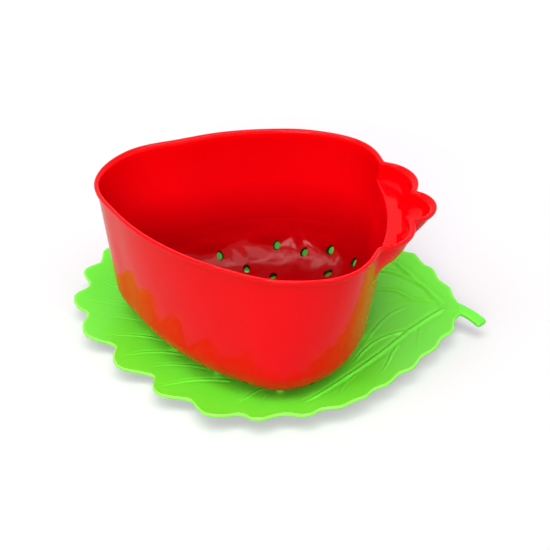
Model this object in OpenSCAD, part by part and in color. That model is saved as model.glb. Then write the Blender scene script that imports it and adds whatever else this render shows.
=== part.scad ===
// Strawberry colander standing in a leaf-shaped drip tray.
// Two mouldings: the bowl lifts straight up off the tray.

/* [Bowl] */
// Length of the bowl's rim, from the pointed end to the root of the handle
bowl_l = 170; // [140:1:200]
// Width of the bowl's rim
bowl_w = 155; // [130:1:180]
// Height of the bowl, from its foot to the rim
bowl_h = 95.5; // [80:0.5:120]
// Wall thickness of the bowl
bowl_wall = 2; // [1.6:0.1:2.6]
// How far the wall leans in between the rim and the rounded base
bowl_draft = 4; // [1:0.1:8]
// Radius of the rounded edge between wall and floor
base_round = 25; // [18:1:30]
// How far the lip stands out past the wall
lip_out = 1.3; // [0.8:0.1:2]
// Height of the lip
lip_h = 3; // [2:0.1:5]
// Radius of the foot ring under the floor
foot_r = 30; // [20:1:36]
// Height of the foot ring
foot_h = 1.5; // [1:0.1:3]
// Width of the foot ring
foot_w = 2.4; // [1.6:0.1:4]

/* [Handle] */
// Radius of the middle lobe
mid_lobe_r = 14.5; // [12:0.5:18]
// Distance from the bowl's centre to the centre of the middle lobe
mid_lobe_x = 92.5; // [88:0.5:97]
// Radius of each side lobe
side_lobe_r = 20.5; // [17:0.5:23]
// Distance of the side lobes along the handle
side_lobe_x = 75.5; // [71:0.5:80]
// Distance of the side lobes to either side
side_lobe_y = 22; // [19:0.5:26]
// Depth of the ledge inside the lobes, below the rim
ledge_drop = 12; // [8:0.5:16]
// Widest part of that ledge
ledge_w = 8; // [5:0.5:11]
// Height below the rim at which the lobes run out into the wall
lobe_h = 27; // [22:0.5:34]

/* [Drain holes] */
// Length of a seed-shaped hole
seed_l = 7.6; // [5:0.1:10]
// Width of a seed-shaped hole
seed_w = 4.6; // [3:0.1:6]

/* [Leaf tray] */
// Length of the leaf without its stem
leaf_l = 240; // [210:1:280]
// Width of the leaf over its teeth
leaf_w = 211; // [195:1:240]
// Thickness of the leaf
leaf_t = 2.2; // [1.8:0.1:3]
// Height of the leaf's edge above the table
edge_h = 15; // [9:0.5:22]
// Radius of the flat seat in the middle
seat_r = 50; // [44:1:58]
// Depth of the deepest notch between two teeth
notch_d = 15; // [6:0.5:17]
// Width of the main veins at the stem
vein_w = 4; // [2:0.1:6]
// How far the main veins stand up from the leaf
vein_h = 1; // [0.6:0.1:1.6]

/* [Stem] */
// Length of the stem past the edge of the leaf
stem_l = 20; // [12:0.5:40]
// Width of the stem
stem_w = 8; // [5:0.1:10]
// Thickness of the stem
stem_t = 3.4; // [2.6:0.1:5]
// How far the stem's end dips below the edge
stem_drop = 3; // [0:0.5:8]
// How far the stem bends to the side
stem_turn = 34; // [0:1:50]

/* [Placing] */
// The bowl's centre along the leaf
bowl_x = -8; // [-12:0.5:8]
// The bowl's centre across the leaf
bowl_y = -6.5; // [-10:0.5:10]
// How far the bowl is turned on the leaf
bowl_turn = -5; // [-30:1:30]
// Clearance between the foot ring and the leaf
seat_gap = 0.3; // [0.2:0.05:0.6]

/* [Hidden] */

// The reach of the rim and of the base round the bowl, anticlockwise from the handle
// in equal turns, as shares of an ellipse of the bowl's length and width.
rim_shares = [
    1, 1.015, 1.1, 1.015, 0.915, 0.875, 0.89, 1.02,
    1.04, 0.905, 0.85, 0.865, 0.94, 1.08, 1.165, 1.045
];
base_shares = [
    0.92, 0.985, 1.1, 1.03, 0.935, 0.875, 0.86, 0.965,
    1.025, 0.89, 0.85, 0.88, 0.97, 1.11, 1.09, 0.995
];

// From the ledge up to the rim: depth as a share of the ledge's,
// and how far out the lobe has grown by then.
scoop_shares = [[1, 0], [0.82, 0.42], [0.55, 0.76], [0.3, 0.94]];

// Drain holes: turn from the handle, and reach as a share of the base's there.
hole_turns = [
    39, 54, 66, 82, 101, 119, 138, 158, 180, 202, 222, 241, 259, 278, 294, 306, 321, 350, 0, 19,
    47, 77, 112, 146, 180, 214, 248, 283, 313, 350, 19,
    60, 120, 180, 240, 300, 0
];
hole_reach_shares = [
    0.95, 0.94, 0.89, 0.92, 0.71, 0.89, 0.8, 0.9, 0.82,
    0.9, 0.82, 0.92, 0.8, 0.92, 0.84, 0.94, 0.95, 0.93, 0.8, 0.93,
    0.78, 0.58, 0.5, 0.56, 0.54, 0.58, 0.54, 0.6, 0.7, 0.66, 0.66,
    0.3, 0.3, 0.28, 0.3, 0.3, 0.36
];

// Notches between the leaf's teeth on its near and its far side: place as a share
// of the way from tip to stem, and depth as a share of the deepest.
near_notch_shares = [
    [0.052, 0.6], [0.152, 0.9], [0.272, 1], [0.372, 0.63], [0.48, 0.36], [0.557, 0.38],
    [0.627, 0.25], [0.68, 0.15], [0.735, 0.2], [0.787, 0.24], [0.85, 0.27], [0.904, 0.2]
];
far_notch_shares = [
    [0.026, 0.4], [0.092, 0.3], [0.17, 0.72], [0.27, 0.9], [0.37, 0.6], [0.475, 0.36], [0.56, 0.36],
    [0.625, 0.22], [0.685, 0.15], [0.74, 0.18], [0.79, 0.2], [0.85, 0.12], [0.92, 0.08]
];

// Veins: start, bend and end, as shares of half the leaf's length and width,
// then the width and height as shares of a main vein's.
vein_shares = [
    [[0.96, 0], [0.74, 0.06], [0.56, 0.05], 1],
    [[-0.56, -0.02], [-0.76, -0.03], [-0.94, -0.03], 0.8],
    [[0.95, -0.03], [0.6, -0.26], [0.22, -0.87], 1],
    [[0.95, 0.03], [0.88, 0.36], [0.27, 0.85], 1],
    [[0.9, 0.08], [0.76, 0.26], [0.58, 0.26], 0.8],
    [[0.88, -0.06], [0.7, -0.12], [0.54, -0.22], 0.8],
    [[0.67, -0.27], [0.68, -0.4], [0.6, -0.62], 0.7],
    [[0.5, -0.45], [0.47, -0.58], [0.38, -0.8], 0.7],
    [[0.74, 0.4], [0.7, 0.52], [0.62, 0.58], 0.7],
    [[0.56, 0.58], [0.5, 0.68], [0.45, 0.74], 0.7],
    [[0.06, -0.7], [0.06, -0.8], [0.04, -0.9], 0.7],
    [[0, -0.68], [-0.06, -0.74], [-0.17, -0.88], 0.7],
    [[-0.14, -0.62], [-0.26, -0.6], [-0.41, -0.72], 0.7],
    [[-0.34, -0.5], [-0.48, -0.45], [-0.62, -0.52], 0.7],
    [[-0.48, -0.26], [-0.64, -0.22], [-0.81, -0.27], 0.7],
    [[0.06, 0.7], [0.06, 0.8], [0.04, 0.9], 0.7],
    [[0, 0.68], [-0.06, 0.74], [-0.17, 0.88], 0.7],
    [[-0.14, 0.62], [-0.26, 0.6], [-0.41, 0.72], 0.7],
    [[-0.34, 0.5], [-0.48, 0.45], [-0.62, 0.52], 0.7],
    [[-0.48, 0.26], [-0.64, 0.22], [-0.81, 0.27], 0.7]
];

// Half the turn that the handle takes up, and the steps of the curves
handle_half = 38;
fine_step = 2;
coarse_step = 6;
round_step = 15;
tooth_steps = 6;
vein_steps = 5;
dish_steps = 6;

// Section of a vein or the stem: across, as a share of half the width, and up
strip_shares = [[1, 0], [0.7, 0.7], [0.25, 1], [-0.25, 1], [-0.7, 0.7], [-1, 0]];

// Small shares of the shapes above
lip_bevel_share = 0.25;
ledge_share = 0.62;
ledge_fall_share = 0.08;
under_share = 1.2;
end_power = 8;
dish_power = 1.9;
tooth_lean = 0.86;
tooth_fill_share = 0.85;
edge_round_share = 0.35;
foot_gap_share = 0.3;
seed_lean_share = 0.95;
vein_sink_share = 0.5;
vein_taper_share = 0.5;
vein_end_share = 0.3;
stem_root_share = 1.5;
cut_extra = 4;

lip_bevel = lip_h * lip_bevel_share;
floor_z = foot_h + bowl_wall;
round_top = foot_h + base_round;
seat_z = leaf_t + seat_gap;
edge_round = leaf_t * edge_round_share;

function blend(a, b, t) = a + (b - a) * t;
function wrapped(i, n) = ((i % n) + n) % n;
function polar(r, a, z) = [r * cos(a), r * sin(a), z];

// A smooth curve through four neighbours, between the middle two
function through(a, b, c, d, t) =
    b + t * ((c - a) + t * ((2 * a - 5 * b + 4 * c - d) + t * (3 * (b - c) + d - a))) / 2;

// Reach of the bowl's rim without the lobes
function oval(a) = 1 / norm([cos(a) / (bowl_l / 2), sin(a) / (bowl_w / 2)]);
function share_at(shares, a) =
    let (n = len(shares), u = a / 360 * n, i = floor(u))
    through(
        shares[wrapped(i - 1, n)],
        shares[wrapped(i, n)],
        shares[wrapped(i + 1, n)],
        shares[wrapped(i + 2, n)],
        u - i
    );
function rim_reach(a) = share_at(rim_shares, a) * oval(a);
function base_reach(a) = share_at(base_shares, a) * oval(a) - bowl_draft;

// The wall runs straight from the rim to the top of the rounded base
function wall_reach(a, z) =
    blend(rim_reach(a), base_reach(a), min(1, (bowl_h - z) / (bowl_h - round_top)));

// How much longer the wall measures along the reach than square to the wall
function slant(a, z) =
    let (d = wall_reach(a + 1, z) - wall_reach(a - 1, z))
    norm([1, d / (2 * wall_reach(a, z)) * 180 / PI]);

// Growth of the lobes past the wall: the far side of each lobe's circle
function lobe_far(a, x, y, r) =
    let (along = x * cos(a) + y * sin(a), side = y * cos(a) - x * sin(a))
    abs(side) < r && along > 0 ? along + sqrt(r * r - side * side) : 0;
function lobe_reach(a) =
    max(
        0,
        lobe_far(a, mid_lobe_x, 0, mid_lobe_r) - rim_reach(a),
        lobe_far(a, side_lobe_x, side_lobe_y, side_lobe_r) - rim_reach(a),
        lobe_far(a, side_lobe_x, -side_lobe_y, side_lobe_r) - rim_reach(a)
    );
function ledge_reach(a) = min(ledge_w, lobe_reach(a) * ledge_share);

// A station is a height, an inset from the wall's reach, and the growth of ledge and lobe.
function bowl_point(s, a) =
    let (grown = s[2] * blend(ledge_reach(a), lobe_reach(a), s[3]))
    polar(wall_reach(a, s[0]) - s[1] * slant(a, s[0]) + grown, a, s[0]);

bowl_turns = concat(
    [for (a = [-handle_half : fine_step : handle_half]) a],
    [for (a = [handle_half + coarse_step : coarse_step : 360 - handle_half - fine_step]) a]
);

outer_stations = concat(
    [for (t = [0 : round_step : 90])
        [round_top - base_round * cos(t), base_round * (1 - sin(t)), 0, 0]],
    [[bowl_h - lobe_h, 0, 0, 0]],
    [for (s = scoop_shares)
        [bowl_h - (ledge_drop + bowl_wall * under_share) * s[0], 0, 1, s[1]]],
    [
        [bowl_h - lip_h + lip_bevel, -lip_out, 1, 1],
        [bowl_h - lip_bevel, -lip_out, 1, 1],
        [bowl_h, lip_bevel - lip_out, 1, 1]
    ]
);
inner_stations = concat(
    [
        [bowl_h, bowl_wall - lip_bevel, 1, 1],
        [bowl_h - lip_bevel, bowl_wall, 1, 1]
    ],
    [for (i = [len(scoop_shares) - 1 : -1 : 0])
        [bowl_h - ledge_drop * scoop_shares[i][0], bowl_wall, 1, scoop_shares[i][1]]],
    [[bowl_h - ledge_drop * (1 + ledge_fall_share), bowl_wall, 0, 0]],
    [for (t = [90 : -round_step : 0])
        [
            round_top - (base_round - bowl_wall) * cos(t),
            bowl_wall + (base_round - bowl_wall) * (1 - sin(t)),
            0,
            0
        ]]
);

// A closed skin over rings of points, with a pole at each end
module loft(low_pole, rings, high_pole) {
    n = len(rings[0]);
    m = len(rings);
    last = n * m + 1;
    polyhedron(
        points = concat([low_pole], [for (r = rings, p = r) p], [high_pole]),
        faces = concat(
            [for (j = [0 : n - 1]) [0, 1 + j, 1 + (j + 1) % n]],
            [for (i = [0 : m - 2], j = [0 : n - 1])
                [1 + i * n + j, 1 + (i + 1) * n + j, 1 + i * n + (j + 1) % n]],
            [for (i = [0 : m - 2], j = [0 : n - 1])
                [1 + i * n + (j + 1) % n, 1 + (i + 1) * n + j, 1 + (i + 1) * n + (j + 1) % n]],
            [for (j = [0 : n - 1])
                [last, last - n + (j + 1) % n, last - n + j]]
        ),
        convexity = 10
    );
}

module bowl_shell() {
    loft(
        [0, 0, foot_h],
        [for (s = concat(outer_stations, inner_stations)) [for (a = bowl_turns) bowl_point(s, a)]],
        [0, 0, floor_z]
    );
}

// A ring under the floor, open at four places so that water runs out
module foot() {
    difference() {
        cylinder(h = foot_h + bowl_wall / 2, r = foot_r + foot_w / 2, $fn = 96);
        translate([0, 0, -cut_extra])
            cylinder(h = foot_h + bowl_wall + 2 * cut_extra, r = foot_r - foot_w / 2, $fn = 96);
        for (a = [45 : 90 : 315])
            rotate(a)
                translate([foot_r / 2, -foot_r * foot_gap_share / 2, -cut_extra])
                    cube([foot_r, foot_r * foot_gap_share, foot_h + cut_extra]);
    }
}

// A seed's outline: a round end and a point, along +X
module seed_outline() {
    r = seed_w / 2;
    reach = seed_l - r;
    turn = acos(r / reach);
    circle(r = r, $fn = 32);
    polygon([[r * cos(turn), r * sin(turn)], [reach, 0], [r * cos(turn), -r * sin(turn)]]);
}

// The hole's cutter stands square to the floor or to its rounded edge
module seed_cut(a, share) {
    at = base_reach(a) * share;
    round_reach = base_round * slant(a, round_top);
    flat = base_reach(a) - round_reach;
    up = at > flat ? asin(min(seed_lean_share, (at - flat) / round_reach)) : 0;
    rotate(a)
        translate([at, 0, round_top - base_round * cos(up)])
            rotate([0, -up, 0])
                translate([0, 0, -bowl_wall])
                    linear_extrude(height = 3 * bowl_wall)
                        seed_outline();
}

module colander() {
    color("red")
        translate([bowl_x, bowl_y, seat_z])
            rotate(bowl_turn)
                difference() {
                    union() {
                        bowl_shell();
                        foot();
                    }
                    for (i = [0 : len(hole_turns) - 1])
                        seed_cut(hole_turns[i], hole_reach_shares[i]);
                }
}

// The leaf's reach before its notches are cut
function leaf_oval(a) = blend(leaf_w / 2, leaf_l / 2, pow(abs(cos(a)), end_power));

// Places from tip to stem at which the outline is sampled, a few to each tooth
function places(shares) =
    let (ends = concat([0], [for (s = shares) s[0]], [1]))
    [for (j = [0 : len(ends) - 2], k = [0 : tooth_steps - 1])
        blend(ends[j], ends[j + 1], k / tooth_steps)];
near_places = places(near_notch_shares);
far_places = places(far_notch_shares);
leaf_turns = concat(
    [0],
    [for (i = [len(far_places) - 1 : -1 : 1]) 180 - 180 * far_places[i]],
    [for (p = near_places) 180 + 180 * p]
);

// The notches either side of a tooth; past the tip comes the other side's first
function notch(own, other, i) =
    i < 0 ? [-other[0][0], other[0][1]]
    : i < len(own) ? own[i]
    : [2 - own[len(own) - 1][0], 0];
function tooth_wave(t) = (1 - cos(360 * t)) / 2;
function notch_at(own, other, p) =
    let (
        i = len([for (s = own) if (s[0] <= p) 1]) - 1,
        low = notch(own, other, i),
        high = notch(own, other, i + 1),
        t = (p - low[0]) / (high[0] - low[0]),
        leant = i < 0 ? t : pow(t, tooth_lean)
    )
    notch_d * blend(low[1], high[1], t) * (1 - tooth_fill_share * tooth_wave(leant));
function leaf_reach(a) =
    leaf_oval(a) - (
        a < 180
        ? notch_at(far_notch_shares, near_notch_shares, (180 - a) / 180)
        : notch_at(near_notch_shares, far_notch_shares, (a - 180) / 180)
    );

// Height of the leaf's upper face: flat under the bowl, then a dish
function dish(r, a) =
    leaf_t + (edge_h - leaf_t) * pow(max(0, (r - seat_r) / (leaf_oval(a) - seat_r)), dish_power);
function dish_at(p) = dish(norm(p), atan2(p[1], p[0]));
function leaf_ring(share, inset, drop) =
    [for (a = leaf_turns)
        let (r = blend(seat_r, leaf_reach(a) - inset, share))
        polar(r, a, dish(r, a) - drop)];

module leaf_plate() {
    loft(
        [0, 0, 0],
        concat(
            [for (k = [0 : dish_steps]) leaf_ring(k / dish_steps, edge_round, leaf_t)],
            [leaf_ring(1, 0, leaf_t / 2)],
            [for (k = [dish_steps : -1 : 0]) leaf_ring(k / dish_steps, edge_round, 0)]
        ),
        [0, 0, leaf_t]
    );
}

// A raised strip along a bent path, wide at its start and narrow at its end
function bend(a, b, c, t) = blend(blend(a, b, t), blend(b, c, t), t);
module strip(path, w, end_w, rise, end_rise, sink) {
    n = len(path) - 1;
    loft(
        path[0] - [0, 0, sink / 2],
        [for (i = [0 : n])
            let (
                along = path[min(i + 1, n)] - path[max(i - 1, 0)],
                side = [-along[1], along[0], 0] / norm([along[0], along[1]]),
                half = blend(w, end_w, i / n) / 2,
                high = blend(rise, end_rise, i / n)
            )
            [for (s = strip_shares)
                path[i] + side * half * s[0] + [0, 0, s[1] > 0 ? high * s[1] : -sink]]],
        path[n] - [0, 0, sink / 2]
    );
}
module vein(v) {
    half = [leaf_l / 2, leaf_w / 2];
    spots = [for (p = [v[0], v[1], v[2]]) [p[0] * half[0], p[1] * half[1]]];
    path = [for (i = [0 : vein_steps])
        let (p = bend(spots[0], spots[1], spots[2], i / vein_steps))
        [p[0], p[1], dish_at(p)]];
    strip(
        path,
        vein_w * v[3],
        vein_w * v[3] * vein_taper_share,
        vein_h * v[3],
        vein_h * vein_end_share,
        leaf_t * vein_sink_share
    );
}
module stem() {
    root = leaf_l / 2 - stem_w;
    top = edge_h;
    tip = [leaf_l / 2 + stem_l * cos(stem_turn), -stem_l * sin(stem_turn)];
    path = [for (i = [0 : vein_steps])
        let (t = i / vein_steps, p = bend([root, 0], [leaf_l / 2, 0], tip, t))
        [p[0], p[1], top - stem_t / 2 - stem_drop * t * t]];
    strip(path, stem_w * stem_root_share, stem_w, stem_t / 2, stem_t / 2, stem_t / 2);
}

module leaf_tray() {
    color("limegreen")
        union() {
            leaf_plate();
            for (v = vein_shares) vein(v);
            stem();
        }
}

colander();
leaf_tray();
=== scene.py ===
import math
import bpy
import numpy as np
from mathutils import Matrix, Vector


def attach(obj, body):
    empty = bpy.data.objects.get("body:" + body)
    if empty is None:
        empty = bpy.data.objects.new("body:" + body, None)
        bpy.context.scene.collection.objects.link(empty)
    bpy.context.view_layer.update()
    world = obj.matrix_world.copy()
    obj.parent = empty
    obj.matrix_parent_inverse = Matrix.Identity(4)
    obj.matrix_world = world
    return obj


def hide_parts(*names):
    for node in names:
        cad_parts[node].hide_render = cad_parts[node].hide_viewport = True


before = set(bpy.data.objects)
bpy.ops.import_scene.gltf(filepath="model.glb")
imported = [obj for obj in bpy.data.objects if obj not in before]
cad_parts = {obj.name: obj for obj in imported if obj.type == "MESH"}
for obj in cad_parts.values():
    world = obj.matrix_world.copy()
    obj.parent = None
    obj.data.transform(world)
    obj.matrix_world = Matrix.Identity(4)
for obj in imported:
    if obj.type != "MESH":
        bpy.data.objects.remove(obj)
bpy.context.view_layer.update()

MM = 0.001

# ---------------------------------------------------------------- camera, fitted to the photograph
CAM_PLACE = (34.4, -504.6, 428.0)  # mm
CAM_TURN, CAM_TILT = 3, 38.4  # degrees from +Y to the left, and down
FOCAL, PICTURE, SHIFT_UP = 1044, 550, 7  # pixels
SENSOR = 36  # mm

scene = bpy.context.scene
cam_data = bpy.data.cameras.new("view")
cam = bpy.data.objects.new("view", cam_data)
scene.collection.objects.link(cam)
scene.camera = cam
turn = math.radians(CAM_TURN)
tilt = math.radians(CAM_TILT)
look = Vector((-math.sin(turn) * math.cos(tilt), math.cos(turn) * math.cos(tilt),
               -math.sin(tilt)))
cam.location = Vector(CAM_PLACE) * MM
cam.rotation_euler = look.to_track_quat("-Z", "Y").to_euler()
cam_data.sensor_width = SENSOR
cam_data.lens = SENSOR * FOCAL / PICTURE
cam_data.shift_y = SHIFT_UP / PICTURE
cam_data.clip_start = 0.01

# ---------------------------------------------------------------- sizes in mm and degrees
BOWL_L, BOWL_W, BOWL_H, WALL, DRAFT, ROUND = 170, 155, 95.5, 2, 4, 25
FOOT_R, FOOT_H, FOOT_W = 30, 1.5, 2.4
FOOT_GAP = math.degrees(math.asin(.15)) + .8  # half a gap in the foot ring
MID_R, MID_X, SIDE_R, SIDE_X, SIDE_Y = 14.5, 92.5, 20.5, 75.5, 22
LOBE_SPAN, LOBE_FADE, LOBE_BLEND = 60, 12, 12
LEDGE_DROP, LEDGE_W, LEDGE_SHARE, LOBE_H, DIP = 12, 10, .62, 27, 4
BOWL_X, BOWL_Y, BOWL_TURN, SEAT_Z = -8, -6.5, -5, 2.5

# A seed hole's cutter is an oval, narrower at one end, scaled up from its foot to its top.
SEED_L, SEED_W, SEED_POINT, SEED_FOOT, SEED_TOP = 6.6, 4.7, .1, .46, 1.27
STEEPEST = .95  # sine of the steepest lean of a cutter

# Heights in the bowl below which the gloss is lumpy, and about which painted shade darkens the red
# below and a painted glow tints it above.
LUMPY_Z, LUMPY_FADE = 30, 12
SHADE_Z, SHADE_FADE = 60, 56

# The bowl's outline at its rim and its foot, as shares of an oval, from +X round to the left.
RIM = [1, 1.015, 1.1, 1.015, .915, .875, .89, 1.02, 1.04, .905, .85, .865, .94, 1.08, 1.165, 1.045]
BASE = [.92, .985, 1.1, 1.03, .935, .875, .86, .965, 1.025, .89, .85, .88, .97, 1.11, 1.09, .995]
# Where the seed holes are: degrees, and share of the way out from the middle.
HOLE_TURN = [
    39, 54, 66, 82, 101, 119, 138, 158, 180, 202, 222, 241, 259, 278, 294, 306, 321, 350, 0, 19,
    47, 77, 112, 146, 180, 214, 248, 283, 313, 350, 19,
    60, 120, 180, 240, 300, 0]
HOLE_SHARE = [
    .95, .94, .89, .92, .71, .89, .8, .9, .82, .9, .82, .92, .8, .92, .84, .94, .95, .93, .8, .93,
    .78, .58, .5, .56, .54, .58, .54, .6, .7, .66, .66,
    .3, .3, .28, .3, .3, .36]

# MARGIN_Y keeps the edge within the solid. Past STEM_OUT the stem no longer follows the dish.
LEAF_L, LEAF_W, LEAF_T, EDGE_H, SEAT_R, NOTCH_D = 240, 211, 2.2, 15, 50, 15
EDGE_ROUND, EDGE_BEAD, MARGIN_Y, CURL = .9, .25, 104.2, 1.9
STEM_W, STEM_T, STEM_DROP, STEM_FLARE, STEM_OUT = 8, 3.4, 3, 9, 122.0
STEM_PATH = (103, 1.5), (121, -1.), (135.6, -15.0)
STEM_AT = -2.5

# Notches of the leaf's far side: share of the way from the tip to the stem, share of NOTCH_D.
FAR = [(.026, .4), (.092, .3), (.17, .72), (.27, .9), (.37, .6), (.475, .36), (.56, .36),
       (.625, .22), (.685, .15), (.74, .18), (.79, .2), (.85, .12), (.92, .08)]

# ---------------------------------------------------------------- helpers


def between(p, q, r, s, u):
    """Smooth curve from q to r as u goes from 0 to 1; p and s are their neighbours."""
    return q + u * ((r - p) + u * ((2 * p - 5 * q + 4 * r - s) + u * (3 * (q - r) + s - p))) / 2


def ease(u):
    return u * u * (3 - 2 * u)


def curve_at(table, a):
    """Closed curve through evenly spaced values, at a degrees."""
    n = len(table)
    t = np.asarray(table, float)
    u = (np.asarray(a) % 360) / 360 * n
    i = np.floor(u).astype(int)
    return between(t[(i - 1) % n], t[i % n], t[(i + 1) % n], t[(i + 2) % n], u - i)


def oval(a):
    """Reach of the oval that the bowl's outlines are shares of, at a degrees."""
    r = np.radians(a)
    return 1 / np.hypot(np.cos(r) / (BOWL_L / 2), np.sin(r) / (BOWL_W / 2))


def rim_reach(a):
    return curve_at(RIM, a) * oval(a)


def base_reach(a):
    return curve_at(BASE, a) * oval(a) - DRAFT


def wall_reach(a, z):
    t = np.clip((BOWL_H - z) / (BOWL_H - FOOT_H - ROUND), 0, 1)
    return rim_reach(a) * (1 - t) + base_reach(a) * t


def slant(a, z):
    """How much longer a way straight out from the middle is than one square to the wall."""
    d = wall_reach(a + 1, z) - wall_reach(a - 1, z)
    return np.hypot(1, d / (2 * wall_reach(a, z)) * 180 / math.pi)


def lobe_far(a, x, y, r):
    """Reach of the far side of a circle, at a degrees."""
    t = np.radians(a)
    along = x * np.cos(t) + y * np.sin(t)
    side = y * np.cos(t) - x * np.sin(t)
    root = np.sqrt(np.maximum(0, r * r - side * side))
    return np.where((np.abs(side) < r) & (along > 0), along + root, 0)


def lobe_reach(a):
    """How far the handle's three lobes stand out beyond the rim, at a degrees."""
    lobes = (MID_X, 0, MID_R), (SIDE_X, SIDE_Y, SIDE_R), (SIDE_X, -SIDE_Y, SIDE_R)
    grown = [lobe_far(a, *lobe) - rim_reach(a) for lobe in lobes]
    grown = [(g + np.sqrt(g * g + 3)) / 2 for g in grown]  # soft where it leaves the rim
    out = sum(g ** LOBE_BLEND for g in grown) ** (1 / LOBE_BLEND) - .012
    off = np.abs((np.asarray(a) + 180) % 360 - 180)
    return np.maximum(0, out) * np.clip((LOBE_SPAN - off) / LOBE_FADE, 0, 1)


def new_mesh(name, verts, faces, smooth=40):
    """New object; an edge that bends by more than smooth degrees looks sharp."""
    me = bpy.data.meshes.new(name)
    me.from_pydata([tuple(v) for v in verts], [], faces)
    me.validate()
    me.update()
    ob = bpy.data.objects.new(name, me)
    scene.collection.objects.link(ob)
    for p in me.polygons:
        p.use_smooth = True
    me.set_sharp_from_angle(angle=math.radians(smooth))
    return ob


def skin_faces(m, n):
    """Faces of a closed skin: a first point, m rings of n points and a last point."""
    faces = [(0, 1 + (j + 1) % n, 1 + j) for j in range(n)]
    for i in range(m - 1):
        for j in range(n):
            p, q = 1 + i * n + j, 1 + i * n + (j + 1) % n
            faces.append((p, q, q + n, p + n))
    b = 1 + (m - 1) * n
    faces += [(b + n, b + j, b + (j + 1) % n) for j in range(n)]
    return faces


def give(ob, name, values, domain="POINT"):
    field = ob.data.attributes.new(name, "FLOAT", domain)
    field.data.foreach_set("value", np.asarray(values, np.float32))


def material(name):
    mat = bpy.data.materials.new(name)
    mat.use_nodes = True
    nt = mat.node_tree
    return mat, nt, nt.nodes["Principled BSDF"]


def plug(nt, socket, value):
    """Link a socket to another node's output, or set its value."""
    if isinstance(value, bpy.types.NodeSocket):
        nt.links.new(value, socket)
    else:
        socket.default_value = value


def feed(nt, n, **values):
    """Give a node its inputs and properties."""
    for k, v in values.items():
        if k in n.inputs:
            plug(nt, n.inputs[k], v)
        else:
            setattr(n, k, v)
    return n


def node(nt, kind, **values):
    return feed(nt, nt.nodes.new(kind), **values)


def map_range(nt, value, start, end, low, high, **kind):
    n = node(nt, "ShaderNodeMapRange", **kind)
    for name, v in (("From Min", start), ("From Max", end), ("To Min", low), ("To Max", high),
                    ("Value", value)):
        plug(nt, n.inputs[name], v)
    return n.outputs["Result"]


def colour_mix(nt, factor, a, b):
    return node(nt, "ShaderNodeMix", data_type="RGBA", A=a, B=b, Factor=factor).outputs["Result"]


def calc(nt, operation, a, b):
    n = node(nt, "ShaderNodeMath", operation=operation)
    plug(nt, n.inputs[0], a)
    plug(nt, n.inputs[1], b)
    return n.outputs[0]


def point_value(nt, name):
    return node(nt, "ShaderNodeAttribute", attribute_name=name).outputs["Fac"]


# ---------------------------------------------------------------- bowl
def growth(s):
    """How far the lobes' outer side is grown, at a share s of the way down to the ledge."""
    return np.maximum(0, 1 - s ** 2.2) ** 0.85


def cup(s):
    """The same for the lobes' inner side, where the pockets are."""
    return np.maximum(0, 1 - s ** 3.4) ** 0.75


def bowl_rows():
    """The bowl's skin from the middle of its underside, over the lip, to the middle of its floor.

    Each row is a height, an inset, an extra inset in the lobes, the share of the ledge and the
    lobes, how far the lobes have grown, the dip in the lobes, and the share of the reach.
    """
    top = BOWL_H
    mid = FOOT_H + ROUND
    rows = []
    # underside, its round corner, and the wall up to where the lobes start
    for k in (.12, .3, .5, .7, .85):
        rows.append((FOOT_H, ROUND, 0, 0, 0, 0, k))
    for t in np.arange(0, 90.1, 6):
        r = math.radians(t)
        rows.append((mid - ROUND * math.cos(r), ROUND * (1 - math.sin(r)), 0, 0, 0, 0, 1))
    for z in np.linspace(mid, top - LOBE_H, 7)[1:]:
        rows.append((z, 0, 0, 0, 0, 0, 1))
    # underside of the ledge, and the lobes' outer side
    under = LEDGE_DROP + WALL * 1.2
    for d in np.linspace(LOBE_H, under, 8)[1:-1]:
        t = (LOBE_H - d) / (LOBE_H - under)
        rows.append((top - d, 0, 0, t, 0, DIP * t * t, 1))
    for s in (1, .985, .95, .9, .82, .72, .6, .5, .4, .32, .27):
        rows.append((top - under * s, 0, 0, 1, growth(s), DIP * s * s * s, 1))
    # lip, outer side and then inner side
    for d, o in ((3.05, .25), (2.95, .8), (2.75, 1.1), (2.4, 1.26), (2, 1.3), (1.2, 1.3),
                 (.7, 1.2), (.35, 1.0), (.12, .7), (0, .3)):
        rows.append((top - d, -o, 0, 1, growth(d / under), 0, 1))
    for d, o, e in ((.04, -.2, .15), (.18, .35, .35), (.45, .85, .6), (.9, 1.25, .9),
                    (1.6, 1.6, 1.15), (2.6, 1.84, 1.3), (3.8, 1.96, 1.3), (5.2, 2, 1.1)):
        rows.append((top - d, o, e, 1, cup(d / LEDGE_DROP), DIP * (d / LEDGE_DROP) ** 4, 1))
    # pockets of the lobes, the ledge and its inner edge
    for s in (.5, .56, .62, .68, .74, .8, .86, .91, .95, .98, 1):
        rows.append((top - LEDGE_DROP * s, WALL, 1.1 * (1 - s), 1, cup(s), DIP * s ** 4, 1))
    for d, e, u, f in ((12.01, .05, 1, .93), (12.02, .15, 1, .8), (12.03, .25, 1, .6),
                       (12.05, .38, 1, .4), (12.07, .55, 1, .22), (12.09, .8, 1, .08),
                       (12.11, 1.1, 1, .01), (12.14, .9, .85, 0), (12.18, .6, .65, 0),
                       (12.23, .3, .45, 0), (12.28, .1, .27, 0), (12.36, 0, .14, 0),
                       (12.55, 0, .06, 0), (12.85, 0, .02, 0), (13.4, 0, 0, 0)):
        rows.append((top - d, WALL, e, u, 0, DIP * f, 1))
    # inner wall, its round corner and the floor
    for z in np.linspace(top - LEDGE_DROP - 1.4, mid, 13)[1:-1]:
        rows.append((z, WALL, 0, 0, 0, 0, 1))
    for t in np.arange(90, -0.1, -4):
        r = math.radians(t)
        k = ROUND - WALL
        rows.append((mid - k * math.cos(r), WALL + k * (1 - math.sin(r)), 0, 0, 0, 0, 1))
    for k in (.9, .78, .64, .5, .36, .22, .1):
        rows.append((FOOT_H + WALL, ROUND, 0, 0, 0, 0, k))
    return rows


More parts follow.
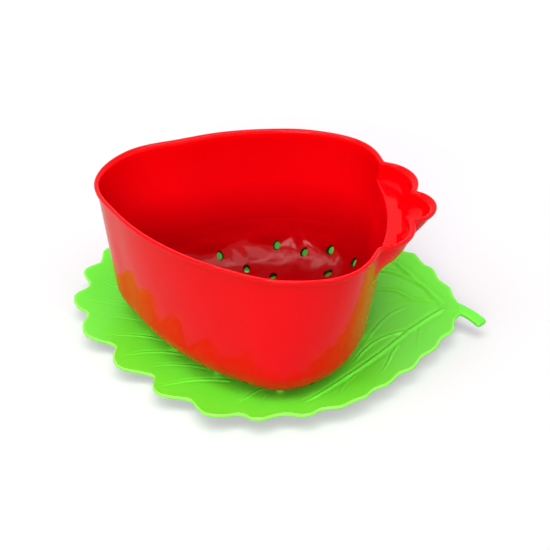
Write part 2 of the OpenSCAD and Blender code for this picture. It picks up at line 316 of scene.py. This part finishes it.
def bowl_mesh():
    a = np.concatenate([np.arange(-42, 42, .75), np.arange(42, 318, 1.5)])
    lobe = lobe_reach(a)
    ledge = np.minimum(LEDGE_W, lobe * LEDGE_SHARE)
    full = ease(np.clip((lobe - ledge - 1) / 6, 0, 1))  # 1 where a lobe has a pocket
    rows = bowl_rows()
    t = np.radians(a)
    verts = [(0, 0, FOOT_H)]
    for z, inset, extra, use, g, dip, k in rows:
        out = use * (ledge * (1 - g) + lobe * g)
        r = (wall_reach(a, z) - inset * slant(a, z) - extra * full + out) * k
        verts += list(zip(r * np.cos(t), r * np.sin(t), z - dip * full))
    verts.append((0, 0, FOOT_H + WALL))
    v = np.array(verts)
    c, s = math.cos(math.radians(BOWL_TURN)), math.sin(math.radians(BOWL_TURN))
    w = np.stack([BOWL_X + v[:, 0] * c - v[:, 1] * s,
                  BOWL_Y + v[:, 0] * s + v[:, 1] * c,
                  v[:, 2] + SEAT_Z], 1)
    ob = new_mesh("bowl_shell", w * MM, skin_faces(len(rows), len(a)), 55)
    # inside and deep are 0 outside; the inner side starts with the first row past the lip's top.
    # deep masks the painted shade low inside and the painted glow towards the rim.
    lip = next(i for i, row in enumerate(rows) if row[2] > 0)
    inner = slice(1 + lip * len(a), None)
    inside, deep = np.zeros(len(v)), np.zeros(len(v))
    inside[inner] = np.clip((LUMPY_Z - v[inner, 2]) / LUMPY_FADE, 0, 1)
    deep[inner] = np.clip((SHADE_Z - v[inner, 2]) / SHADE_FADE, -1, 1)
    give(ob, "inside", inside)
    give(ob, "deep", deep)
    return ob


def seed_cutters():
    """Plugs that cut the seed holes, each square to the bowl's round corner or its floor."""
    n = 32
    ring = [(SEED_L / 2 * math.cos(t), SEED_W / 2 * math.sin(t) * (1 - SEED_POINT * math.cos(t)))
            for t in np.linspace(0, 2 * math.pi, n, endpoint=False)]
    mid = FOOT_H + ROUND
    verts, faces = [], []
    for a, share in zip(HOLE_TURN, HOLE_SHARE):
        base = float(base_reach(a))
        at = base * share
        rr = ROUND * float(slant(a, mid))
        flat = base - rr
        up = math.asin(min(STEEPEST, (at - flat) / rr)) if at > flat else 0
        m = (Matrix.Translation((BOWL_X, BOWL_Y, SEAT_Z))
             @ Matrix.Rotation(math.radians(BOWL_TURN + a), 4, "Z")
             @ Matrix.Translation((at, 0, mid - ROUND * math.cos(up)))
             @ Matrix.Rotation(-up, 4, "Y"))
        b = len(verts)
        for z, k in ((-WALL, SEED_FOOT), (2 * WALL, SEED_TOP)):
            verts += [tuple(m @ Vector((x * k, y * k, z)) * MM) for x, y in ring]
        faces.append(tuple(range(b + n - 1, b - 1, -1)))
        faces.append(tuple(range(b + n, b + 2 * n)))
        for j in range(n):
            k = (j + 1) % n
            faces.append((b + j, b + k, b + n + k, b + n + j))
    ob = new_mesh("seed_cut", verts, faces)
    # the cutter's faces become the holes' walls: deep gives them the floor's painted shade, bore
    # the painted shade of the holes
    give(ob, "deep", np.ones(len(verts)))
    give(ob, "bore", np.ones(len(faces)), "FACE")
    return ob


def cut(ob, cutter):
    mod = ob.modifiers.new("cut", "BOOLEAN")
    mod.operation = "DIFFERENCE"
    mod.solver = "EXACT"
    mod.object = cutter
    deps = bpy.context.evaluated_depsgraph_get()
    me = bpy.data.meshes.new_from_object(ob.evaluated_get(deps))
    ob.modifiers.clear()
    ob.data = me
    bpy.data.objects.remove(cutter)
    # The points of a hole's upper edge lie on the floor and take the floor's values, and so its
    # painted shade.
    bore = np.zeros(len(me.polygons), np.float32)
    me.attributes["bore"].data.foreach_get("value", bore)
    upper = set()
    for p in me.polygons:
        if bore[p.index] > .5:
            heights = [me.vertices[i].co.z for i in p.vertices]
            middle = sum(heights) / len(heights)
            upper.update(i for i, h in zip(p.vertices, heights) if h > middle)
    for i in upper:
        me.attributes["deep"].data[i].value = 1
        me.attributes["inside"].data[i].value = 1
    return ob


def foot_mesh():
    """The foot ring: four arcs, with gaps between them that let the water out."""
    half = FOOT_W / 2
    prof = [(-half, FOOT_H + .4), (-half, .35), (-half + .3, .05), (-half + .5, 0),
            (half - .5, 0), (half - .3, .05), (half, .35), (half, FOOT_H + .4)]
    k = len(prof)
    c = math.radians(BOWL_TURN)
    verts, faces = [], []
    for q in range(4):
        arc = np.radians(np.arange(-45 + FOOT_GAP + 90 * q, 45 - FOOT_GAP + 90 * q + .01, 2.5))
        b = len(verts)
        for t in arc:
            for d, z in prof:
                r = FOOT_R + d
                verts.append(((BOWL_X + r * math.cos(t + c)) * MM,
                              (BOWL_Y + r * math.sin(t + c)) * MM,
                              (SEAT_Z + z) * MM))
        for i in range(len(arc) - 1):
            p = b + i * k
            for j in range(k - 1):
                faces.append((p + j, p + j + 1, p + k + j + 1, p + k + j))
            faces.append((p + k - 1, p, p + k, p + k + k - 1))
        faces.append(tuple(range(b, b + k))[::-1])
        faces.append(tuple(range(b + (len(arc) - 1) * k, b + len(arc) * k)))
    return new_mesh("bowl_foot", verts, faces, 35)


# Linear colours of the red plastic: two tones, a painted glow inside towards the rim, painted
# shade on the floor, painted shade on the seed holes' walls.
RED_TONES = (.88, .0, .0022, 1), (.95, .0006, .006, 1)
RED_PAINTED_GLOW, RED_PAINTED_FLOOR_SHADE, RED_PAINTED_HOLE_SHADE = (.86, 0, .001, 1), (.2, 0, .001, 1), (.04, 0, .001, 1)


def red_plastic():
    mat, nt, bsdf = material("bowl_plastic_look")
    place = node(nt, "ShaderNodeTexCoord").outputs["Object"]
    fine = node(nt, "ShaderNodeTexNoise", Scale=38.0, Detail=3.0, Roughness=.5,
                Vector=place).outputs["Fac"]
    tone = colour_mix(nt, fine, *RED_TONES)
    # deep is 1 on the floor inside, 0 at SHADE_Z and outside, and below 0 towards the rim: below 0
    # it mixes in a painted glow, above 0 painted shade
    deep = point_value(nt, "deep")
    tone = colour_mix(nt, map_range(nt, deep, 0, -1, 0, 1), tone, RED_PAINTED_GLOW)
    tone = colour_mix(nt, map_range(nt, deep, 0, 1, 0, .9), tone, RED_PAINTED_FLOOR_SHADE)
    # painted shade on the seed holes' walls
    tone = colour_mix(nt, point_value(nt, "bore"), tone, RED_PAINTED_HOLE_SHADE)
    plug(nt, bsdf.inputs["Base Color"], tone)
    # long waves all over, and lumps in the gloss low down inside
    wave = node(nt, "ShaderNodeTexNoise", Scale=14.0, Detail=1.0, Vector=place)
    bump = node(nt, "ShaderNodeBump", Strength=.06, Distance=.002, Height=wave.outputs["Fac"])
    lump = node(nt, "ShaderNodeTexNoise", Scale=52.0, Detail=.9, Distortion=.5, Vector=place)
    height = calc(nt, "MULTIPLY", lump.outputs["Fac"], point_value(nt, "inside"))
    bump = node(nt, "ShaderNodeBump", Strength=.75, Distance=.0045, Height=height,
                Normal=bump.outputs["Normal"])
    feed(nt, bsdf, Roughness=map_range(nt, fine, 0, 1, .1, .14), IOR=1.205,
         Normal=bump.outputs["Normal"])
    return mat


# ---------------------------------------------------------------- leaf
def leaf_oval(a):
    """Reach of the leaf without its notches, at a degrees."""
    c = np.abs(np.cos(np.radians(a))) ** 8
    return LEAF_W / 2 * (1 - c) + LEAF_L / 2 * c


def far_notches(p):
    """Depth of the notches at a share p of the far side."""
    x, y = np.array(FAR).T
    i = np.clip(np.searchsorted(x, p, side="right") - 1, 0, len(x) - 2)
    t = np.clip((p - x[i]) / (x[i + 1] - x[i]), 0, 1)
    tooth = 1 - .85 * (1 - np.cos(2 * math.pi * t ** .86)) / 2
    return NOTCH_D * (y[i] * (1 - t) + y[i + 1] * t) * tooth


def margin():
    """The leaf's outline as fine angles and reaches, slightly smoothed and kept in the solid."""
    hidden = np.arange(35, 151, 1.0)
    a = np.concatenate([[p[0] for p in MARGIN_STEM], hidden, [p[0] for p in MARGIN]])
    far = leaf_oval(hidden) - far_notches((180 - hidden) / 180)
    r = np.concatenate([[p[1] for p in MARGIN_STEM], far, [p[1] for p in MARGIN]])
    fine = np.arange(0, 360, .1)
    q = np.interp(fine, a, r, period=360)
    half, spread = 12, 3.0
    k = np.exp(-(np.arange(-half, half + 1) / spread) ** 2)
    k /= k.sum()
    q = np.convolve(np.concatenate([q[-half:], q, q[:half]]), k, "valid")
    q = np.minimum(q, MARGIN_Y / np.maximum(.5, np.abs(np.sin(np.radians(fine)))))
    return fine, q


def leaf_reach(a):
    return np.interp(np.asarray(a, float) % 360, EDGE_A, EDGE_R, period=360)


def dish(r, a):
    """Height of the dish's upper side."""
    rise = np.clip((r - SEAT_R) / (leaf_oval(a) - SEAT_R), 0, None) ** CURL
    return LEAF_T + (EDGE_H - LEAF_T) * rise


# Margin of the leaf, in degrees and mm from the middle: at the stem, and round the near side.
# Between the two it is hidden behind the bowl and comes from the notches.
MARGIN_STEM = [
    (1.5, 121.3), (2.9, 120.5), (4.8, 119.9), (6.7, 119.9), (8.2, 119.3), (10.3, 117.1),
    (12.5, 115.1), (14.1, 114.8), (16.2, 114.9), (17.9, 114.8), (19.7, 113.5), (21.5, 111.5),
    (24.2, 110.9), (26, 110.9), (27.9, 110.8), (29.4, 108.7), (31, 106.8), (33, 107.6)]
MARGIN = [
    (153.5, 111), (156.8, 115.5), (158.8, 116.1), (161.3, 113.9), (163.5, 113.1), (165.2, 115),
    (166.9, 117), (168.7, 118.8), (170.3, 118.6), (172.1, 115.6), (173.4, 112.7), (175.5, 112.1),
    (177.4, 113.8), (179.3, 116.7), (181.5, 118.4), (183.7, 118), (185.9, 115.9), (187.1, 113.2),
    (187.8, 110.1), (188.9, 108.7), (190.8, 109.3), (193.2, 110.9), (195.5, 112), (198.4, 112.3),
    (200.5, 111.4), (202.3, 108.4), (203.7, 104.1), (205, 99.2), (206.5, 96.8), (208, 96.4),
    (209.8, 98.3), (212.5, 100.8), (215.7, 103), (218.6, 103.8), (220.6, 102.5), (222.6, 98.6),
    (224.9, 94.3), (227.3, 90.7), (229, 90.4), (230.3, 91.8), (232.3, 95.6), (234.4, 99.1),
    (236.4, 101.4), (238.8, 101.9), (241.2, 100.1), (244.3, 97), (246.1, 95.4), (248.3, 95),
    (250, 97.1), (251.8, 99.7), (253.8, 102.9), (255.8, 105.4), (258.4, 105.6), (260.7, 104.2),
    (262.9, 102.2), (264.6, 100.2), (266.4, 99.4), (267.7, 99.9), (269.1, 102), (270.1, 104.2),
    (271.7, 105.1), (273.5, 104.5), (275.3, 102.6), (276.9, 100.9), (279.2, 99.7), (281.4, 99.8),
    (283.2, 101.1), (284.5, 103.1), (285.9, 104.4), (287.4, 104.7), (289.1, 104.4), (290.6, 102.8),
    (292.3, 101.3), (294.5, 102), (296.4, 103.8), (298.3, 105.4), (299.8, 105), (301.8, 104.3),
    (304, 104.3), (306.3, 105.1), (307.9, 105.1), (309.9, 103.4), (312, 102.7), (314.3, 104.1),
    (316.1, 105.5), (318, 105.5), (320.1, 104.7), (322.6, 104.1), (324.4, 105.3), (326.1, 107.5),
    (327.4, 108.7), (329.5, 108.5), (331.4, 108), (333.2, 107.7), (335.5, 109.1), (337.3, 111.5),
    (338.7, 113.1), (340.5, 113.6), (342.4, 113.5), (344.3, 114.5), (345.7, 116.4), (346.6, 118.5),
    (347.9, 119.7), (349.9, 119.8), (352.4, 119.4), (354.1, 120.5), (354.9, 122.6), (356.5, 122.8),
    (358.5, 122.2)]

# Veins in the tray's plan, in mm: points, width, height, and how deep the crease beside it is.
VEINS = [
    ([(114, -2), (103, -9), (90, -20), (71, -41), (50, -63), (36, -78), (26, -87)], 3.0, .8, .7),
    ([(92, -18), (82, -20), (72, -25), (64, -34), (56, -48)], 2.4, .6, .5),
    ([(90, 5), (82, 1), (75, -7), (69, -17), (64, -27)], 2.2, .5, .4),
    ([(112, 3), (102, 8), (94, 12), (86, 20), (79, 23), (70, 24)], 2.4, .6, .6),
    ([(98, 9), (90, 12), (84, 13), (76, 11)], 1.8, .35, .3),
    ([(113, 2), (108, 10), (103, 20), (98, 28), (90, 40), (82, 50), (66, 68),
      (44, 86)], 2.8, .7, .8),
    ([(101, 22), (93, 31), (84, 38), (74, 42), (62, 46)], 2.4, .6, .8),
    ([(84, -31), (80, -40), (77, -50), (73, -59)], 1.8, .45, .3),
    ([(98, -16), (96, -28), (95, -38)], 1.8, .25, .2),
    ([(60, -56), (53, -66), (48, -78)], 1.6, .3, .2),
    ([(4, -70), (-2, -77), (-11, -89)], 1.8, .45, .3),
    ([(7, -74), (5, -82), (4, -94)], 1.6, .3, .2),
    ([(-14, -64), (-25, -64), (-38, -67), (-48, -73), (-57, -80)], 2.0, .5, .4),
    ([(-26, -54), (-40, -52), (-54, -54), (-64, -59)], 1.8, .3, .3),
    ([(-44, -42), (-58, -42), (-70, -46), (-80, -53)], 2.0, .45, .35),
    ([(-56, -30), (-70, -29), (-84, -31), (-97, -35)], 1.8, .35, .3),
    ([(-64, -14), (-80, -13), (-93, -14), (-106, -17)], 1.8, .35, .3),
    ([(-64, 0), (-84, -1), (-100, -2), (-112, -3)], 2.0, .4, .3),
    ([(-64, 12), (-82, 12), (-98, 15), (-110, 19)], 1.8, .35, .3),
    ([(-58, 28), (-72, 27), (-88, 31), (-100, 36)], 1.8, .35, .3),
    ([(-44, 40), (-58, 40), (-72, 45), (-84, 52)], 1.8, .4, .3),
    ([(-26, 52), (-40, 52), (-54, 56), (-66, 65)], 1.8, .4, .3),
    ([(-12, 62), (-24, 63), (-36, 68), (-46, 78)], 1.8, .4, .3),
    ([(2, 68), (-4, 76), (-12, 88)], 1.8, .4, .3),
    ([(8, 72), (8, 82), (8, 94)], 1.6, .3, .2),
    ([(20, 72), (26, 80), (30, 92)], 1.6, .3, .2),
    ([(68, 64), (62, 72), (54, 84)], 1.6, .3, .2),
    ([(88, 42), (84, 52), (78, 64)], 1.6, .3, .2),
]


EDGE_A, EDGE_R = margin()


def smooth_path(points, steps=10):
    """Points of a smooth line through the given points."""
    p = [np.array(q, float) for q in points]
    p = [2 * p[0] - p[1]] + p + [2 * p[-1] - p[-2]]
    out = []
    for i in range(1, len(p) - 2):
        for u in np.linspace(0, 1, steps, endpoint=False):
            out.append(between(*p[i - 1:i + 3], u))
    out.append(p[-2])
    return np.array(out)


def relief(x, y):
    """Height of the veins: a rib with a deep crease on one side and a fainter one on the other."""
    reach, crease_off, crease_w, faint = 9, .95, .5, .6
    h = np.zeros_like(x)
    for pts, width, high, deep in VEINS:
        path = smooth_path(pts)
        lo = path.min(0) - reach
        hi = path.max(0) + reach
        m = (x > lo[0]) & (x < hi[0]) & (y > lo[1]) & (y < hi[1])
        if not m.any():
            continue
        xm, ym = x[m], y[m]
        best, side, along = np.full(xm.shape, 1e9), np.zeros(xm.shape), np.zeros(xm.shape)
        n = len(path) - 1
        for i in range(n):
            a, b = path[i], path[i + 1]
            d = b - a
            ln = float(d @ d)
            t = np.clip(((xm - a[0]) * d[0] + (ym - a[1]) * d[1]) / ln, 0, 1)
            ex, ey = xm - a[0] - t * d[0], ym - a[1] - t * d[1]
            dist = np.hypot(ex, ey)
            near = dist < best
            best = np.where(near, dist, best)
            side = np.where(near, np.sign(d[0] * ey - d[1] * ex), side)
            along = np.where(near, (i + t) / n, along)
        s = best * side
        w = width * (1 - .45 * along)
        fade = ease(np.clip((1 - along) / .18, 0, 1) * np.clip(along / .04, 0, 1))
        rib = high * np.exp(-(s / (w * .42)) ** 2)
        crease = (deep * np.exp(-((s + w * crease_off) / (w * crease_w)) ** 2)
                  + faint * deep * np.exp(-((s - w * crease_off) / (w * crease_w)) ** 2))
        h[m] = h[m] + (rib - crease * .8) * fade
    return h


def leaf_mesh():
    n = 1080
    a = np.arange(n) * 360 / n
    t = np.radians(a)
    one = np.ones(n)
    edge = leaf_reach(a) - EDGE_ROUND
    top = dish(edge, a)
    rows = []
    # underside
    for k in (.25, .5, .75, 1):
        rows.append((SEAT_R * k * one, np.zeros(n)))
    for k in np.linspace(0, 1, 13)[1:]:
        r = SEAT_R + (edge - SEAT_R) * k
        rows.append((r, dish(r, a) - LEAF_T))
    # round the edge, whose upper half stands a little proud
    for q in (-60, -30, 0, 30, 60, 90):
        c = math.cos(math.radians(q))
        s = math.sin(math.radians(q))
        rows.append((edge + EDGE_ROUND * c,
                     top - LEAF_T / 2 + LEAF_T / 2 * s + (EDGE_BEAD if q > 20 else 0)))
    # upper side, with the veins
    for k in np.linspace(1, 0, 92)[1:]:
        r = SEAT_R + (edge - SEAT_R) * k
        away = np.clip((edge - r) / 3.5, 0, 1)
        bead = EDGE_BEAD * np.exp(-((edge - r) / 1.1) ** 2)
        veins = relief(r * np.cos(t), r * np.sin(t))
        rows.append((r, dish(r, a) + veins * away * np.clip((r - SEAT_R) / 4, 0, 1) + bead))
    for k in (.8, .5, .25):
        rows.append((SEAT_R * k * one, LEAF_T * one))
    verts = [(0, 0, 0)]
    for r, z in rows:
        verts += list(zip(r * np.cos(t), r * np.sin(t), z))
    verts.append((0, 0, LEAF_T))
    v = np.array(verts)
    v[:, 2] = np.maximum(v[:, 2], 0)
    ob = new_mesh("leaf_dish", v * MM, skin_faces(len(rows), n), 60)
    # edge is 1 along the margin, apart from where the stem joins; it masks the painted highlight
    # along the edge
    ang = np.degrees(np.arctan2(v[:, 1], v[:, 0])) % 360
    gap = leaf_reach(ang) - np.hypot(v[:, 0], v[:, 1])
    from_stem = np.abs((ang - STEM_AT + 180) % 360 - 180)
    give(ob, "edge",
         np.exp(-(np.clip(gap, 0, None) / 1.7) ** 2) * (1 - np.exp(-(from_stem / 5) ** 4)))
    return ob


def stem_mesh():
    """The stem: it grows out of the dish with a flared root, bends and drops to a blunt tip."""
    prof = [(1, 0), (.98, .3), (.92, .6), (.8, .83), (.6, .96), (.3, 1.03), (0, 1.05),
            (-.3, 1.03), (-.6, .96), (-.8, .83), (-.92, .6), (-.98, .3), (-1, 0), (-.97, -.4),
            (-.85, -.8), (-.5, -1), (0, -1.03), (.5, -1), (.85, -.8), (.97, -.4)]
    blunt = (1, 1), (.97, .95), (.86, .78)  # width and height of the last rings
    root, bend, tip = (np.array(q) for q in STEM_PATH)
    n, k = 36, len(prof)
    verts, faces = [], []
    for i in range(n + 1):
        t = i / n
        q = (root * (1 - t) + bend * t) * (1 - t) + (bend * (1 - t) + tip * t) * t
        d = 2 * ((bend - root) * (1 - t) + (tip - bend) * t)
        d /= np.linalg.norm(d)
        w = STEM_W / 2 + STEM_FLARE * max(0, 1 - t / .75) ** 2
        h = STEM_T / 2 * (.3 + .7 * min(1, t / .5))
        if i > n - 3:
            w *= blunt[i - n + 2][0]
            h *= blunt[i - n + 2][1]
        sink = 1.4 * max(0, 1 - t / .35) - .5 * min(1, t / .45)
        drop = STEM_DROP * max(0, (t - .55) / .45) ** 2
        for u, s in prof:
            x, y = q[0] - d[1] * w * u, q[1] + d[0] * w * u
            r, a = math.hypot(x, y), math.degrees(math.atan2(y, x))
            top = float(dish(min(r, STEM_OUT), a)) - sink - drop
            verts.append((x * MM, y * MM, (top + h * (s - 1.05)) * MM))
    for i in range(n):
        for j in range(k):
            p, q = i * k + j, i * k + (j + 1) % k
            faces.append((p, p + k, q + k, q))
    faces.append(tuple(range(k)))
    faces.append(tuple(range(n * k, (n + 1) * k))[::-1])
    ob = new_mesh("leaf_stem", verts, faces, 60)
    give(ob, "edge", np.zeros(len(verts)))
    return ob


# Linear colours of the green plastic: two tones, and a painted highlight along the edge.
GREEN_TONES = (.128, .79, .022, 1), (.158, .86, .042, 1)
GREEN_PAINTED_EDGE_HIGHLIGHT = (.29, .94, .10, 1)


def green_plastic():
    mat, nt, bsdf = material("leaf_plastic_look")
    place = node(nt, "ShaderNodeTexCoord").outputs["Object"]
    fine = node(nt, "ShaderNodeTexNoise", Scale=30.0, Detail=3.0, Vector=place).outputs["Fac"]
    tone = colour_mix(nt, fine, *GREEN_TONES)
    # a paler green along the margin: a painted highlight
    tone = colour_mix(nt, point_value(nt, "edge"), tone, GREEN_PAINTED_EDGE_HIGHLIGHT)
    plug(nt, bsdf.inputs["Base Color"], tone)
    grain = node(nt, "ShaderNodeTexNoise", Scale=260.0, Detail=2.0, Vector=place)
    bump = node(nt, "ShaderNodeBump", Strength=.12, Distance=.0004, Height=grain.outputs["Fac"])
    feed(nt, bsdf, Roughness=map_range(nt, fine, 0, 1, .32, .42), IOR=1.45,
         Normal=bump.outputs["Normal"])
    return mat


# ---------------------------------------------------------------- pieces
bowl = cut(bowl_mesh(), seed_cutters())
for p in bowl.data.polygons:
    p.use_smooth = True
bowl.data.set_sharp_from_angle(angle=math.radians(50))
foot = foot_mesh()
leaf = leaf_mesh()
stem = stem_mesh()
red = red_plastic()
green = green_plastic()
for ob, mat in ((bowl, red), (foot, red), (leaf, green), (stem, green)):
    ob.data.materials.clear()
    ob.data.materials.append(mat)
for ob in (bowl, foot):
    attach(ob, "bowl")
for ob in (leaf, stem):
    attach(ob, "tray")
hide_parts("colander")
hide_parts("leaf_tray")

# ---------------------------------------------------------------- floor and light, in metres
FLOOR_HALF = 6.0
FLOOR_NEAR, FLOOR_FAR = (.45, .54, .44, 1), (.80, .88, .80, 1)
GLOW_NEAR, WHITE = (.35, .22, .36, 1), (1, 1, 1, 1)
FAR_START, FAR_END = -.2, 1.2  # along Y
GLOW_START, GLOW_END = .24, .5  # away from the middle
GLOW_IN_GLOSS = .4
SIDE_LIGHT, TOP_LIGHT, TOP_Z = .04, .42, .45

me = bpy.data.meshes.new("floor")
me.from_pydata([(-FLOOR_HALF, -FLOOR_HALF, 0), (FLOOR_HALF, -FLOOR_HALF, 0),
                (FLOOR_HALF, FLOOR_HALF, 0), (-FLOOR_HALF, FLOOR_HALF, 0)], [], [(0, 1, 2, 3)])
floor = bpy.data.objects.new("floor", me)
scene.collection.objects.link(floor)
mat, nt, bsdf = material("floor_white")
spot = node(nt, "ShaderNodeTexCoord").outputs["Object"]
axes = node(nt, "ShaderNodeSeparateXYZ", Vector=spot)
behind = map_range(nt, axes.outputs["Y"], FAR_START, FAR_END, 0, 1)
plug(nt, bsdf.inputs["Base Color"], colour_mix(nt, behind, FLOOR_NEAR, FLOOR_FAR))
plug(nt, bsdf.inputs["Roughness"], .9)
plug(nt, bsdf.inputs["Specular IOR Level"], 0)
# the floor glows white away from the object, for the camera and less in the gloss
away = node(nt, "ShaderNodeVectorMath", operation="LENGTH", Vector=spot).outputs["Value"]
far = map_range(nt, away, GLOW_START, GLOW_END, 0, 1, interpolation_type="SMOOTHSTEP")
path = node(nt, "ShaderNodeLightPath")
gloss = calc(nt, "MULTIPLY", path.outputs["Is Glossy Ray"], GLOW_IN_GLOSS)
seen = calc(nt, "MAXIMUM", path.outputs["Is Camera Ray"], gloss)
emit = node(nt, "ShaderNodeEmission", Color=colour_mix(nt, far, GLOW_NEAR, WHITE), Strength=seen)
add = node(nt, "ShaderNodeAddShader")
nt.links.new(bsdf.outputs[0], add.inputs[0])
nt.links.new(emit.outputs[0], add.inputs[1])
nt.links.new(add.outputs[0], nt.nodes["Material Output"].inputs["Surface"])
me.materials.append(mat)

# a sky that is dim at the sides and brighter above, and white for the camera and in the gloss
world = bpy.data.worlds.new("studio")
scene.world = world
world.use_nodes = True
wn = world.node_tree
sky = node(wn, "ShaderNodeTexCoord").outputs["Generated"]
split = node(wn, "ShaderNodeSeparateXYZ", Vector=sky)
level = map_range(wn, split.outputs["Z"], 0, TOP_Z, SIDE_LIGHT, TOP_LIGHT)
lit = feed(wn, wn.nodes["Background"], Color=WHITE, Strength=level)
plain = node(wn, "ShaderNodeBackground", Color=WHITE, Strength=1)
path = node(wn, "ShaderNodeLightPath")
seen = calc(wn, "MAXIMUM", path.outputs["Is Camera Ray"], path.outputs["Is Glossy Ray"])
either = node(wn, "ShaderNodeMixShader")
for i, source in enumerate((seen, lit.outputs[0], plain.outputs[0])):
    wn.links.new(source, either.inputs[i])
wn.links.new(either.outputs[0], wn.nodes["World Output"].inputs["Surface"])


def softbox(name, place, aim, w, h, power):
    data = bpy.data.lights.new(name, "AREA")
    data.shape = "RECTANGLE"
    data.size = w
    data.size_y = h
    data.energy = power
    ob = bpy.data.objects.new(name, data)
    scene.collection.objects.link(ob)
    ob.location = place
    ob.rotation_euler = (Vector(aim) - Vector(place)).to_track_quat("-Z", "Y").to_euler()


# three softboxes side by side above the front, and one in front at middle height
for side, x, power in (("left", -.56, 8), ("mid", -.06, 5.5), ("right", .44, 6)):
    softbox("key_" + side, (x, -.34, 1.33), (0, 0, .03), .5, 1.0, power)
softbox("fill", (-.14, -1.22, .86), (0, 0, .05), .5, .5, 8.2)

scene.view_settings.view_transform = "Standard"
